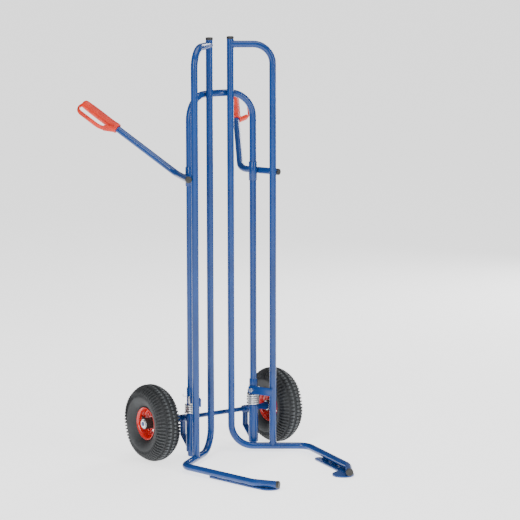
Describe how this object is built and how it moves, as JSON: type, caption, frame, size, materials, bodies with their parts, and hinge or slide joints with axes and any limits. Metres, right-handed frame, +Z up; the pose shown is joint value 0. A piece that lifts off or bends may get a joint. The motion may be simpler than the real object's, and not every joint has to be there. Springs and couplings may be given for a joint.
{
  "type": "hand truck",
  "caption": "Tall tubular hand truck for stacks of tyres: a hooped frame on air-filled wheels, with two sprung swivelling gripper frames, floor prongs and guarded hand grips.",
  "frame": {"origin": "on the floor under the middle of the bounding box", "axes": "+Z up, -Y the front where the prongs reach out, +X the truck's right-hand side as seen from the front"},
  "size_m": [0.685, 0.919, 1.411],
  "materials": {
    "frame_paint": "glossy powder coat",
    "grip_red": "moulded, satin",
    "black_plastic": "moulded, satin",
    "rim_red": "glossy paint",
    "tyre_rubber": "moulded rubber",
    "butyl": "smooth rubber",
    "zinc": "bright zinc plate",
    "bearing_steel": "ground steel"
  },
  "bodies": {
    "frame": {"main_frame": "frame_paint", "axle": "frame_paint", "right_leg_plug": "frame_paint", "right_axle_bracket": "frame_paint", "right_spring_collar": "frame_paint", "right_torsion_spring": "zinc", "right_axle_spacer": "frame_paint", "right_axle_retainer": "zinc", "left_leg_plug": "frame_paint", "left_axle_bracket": "frame_paint", "left_spring_collar": "frame_paint", "left_torsion_spring": "zinc", "left_axle_spacer": "frame_paint", "left_axle_retainer": "zinc"},
    "right_gripper": {"right_grab_arm": "frame_paint", "right_outer_tube": "frame_paint", "right_top_cap": "black_plastic", "right_prong_cap": "black_plastic", "right_upper_sleeve": "frame_paint", "right_lower_sleeve": "frame_paint", "right_hinge_lug": "frame_paint", "right_lug_screw": "zinc", "right_handle_tube": "frame_paint", "right_handle_cap": "black_plastic", "right_grip": "grip_red", "right_blade": "frame_paint"},
    "left_gripper": {"left_grab_arm": "frame_paint", "left_outer_tube": "frame_paint", "left_top_cap": "black_plastic", "left_prong_cap": "black_plastic", "left_upper_sleeve": "frame_paint", "left_lower_sleeve": "frame_paint", "left_hinge_lug": "frame_paint", "left_lug_screw": "zinc", "left_handle_tube": "frame_paint", "left_handle_cap": "black_plastic", "left_grip": "grip_red", "left_blade": "frame_paint"},
    "right_wheel": {"right_tyre": "tyre_rubber", "right_inner_tube": "butyl", "right_rim_outer": "rim_red", "right_rim_inner": "rim_red", "right_rim_bolts": "zinc", "right_rim_nuts": "zinc", "right_hub": "rim_red", "right_wheel_bearings": "bearing_steel", "right_valve": "butyl"},
    "left_wheel": {"left_tyre": "tyre_rubber", "left_inner_tube": "butyl", "left_rim_outer": "rim_red", "left_rim_inner": "rim_red", "left_rim_bolts": "zinc", "left_rim_nuts": "zinc", "left_hub": "rim_red", "left_wheel_bearings": "bearing_steel", "left_valve": "butyl"}
  },
  "joints": [
    {"name": "right_gripper_swivel", "type": "hinge", "parent": "frame", "child": "right_gripper", "pos_m": [0.1275, 0.0778, 0.2], "axis": [0, 0, 1], "range_deg": [0, 24], "stiffness_Nm_per_rad": 8, "springref_deg": -20.05, "deforming": ["right_torsion_spring"]},
    {"name": "right_wheel_spin", "type": "hinge", "parent": "frame", "child": "right_wheel", "pos_m": [0.25, 0.1268, 0.13], "axis": [1, 0, 0], "continuous": true},
    {"name": "left_gripper_swivel", "type": "hinge", "parent": "frame", "child": "left_gripper", "pos_m": [-0.1275, 0.0778, 0.2], "axis": [0, 0, -1], "range_deg": [0, 24], "stiffness_Nm_per_rad": 8, "springref_deg": -20.05, "deforming": ["left_torsion_spring"]},
    {"name": "left_wheel_spin", "type": "hinge", "parent": "frame", "child": "left_wheel", "pos_m": [-0.25, 0.1268, 0.13], "axis": [1, 0, 0], "continuous": true}
  ]
}
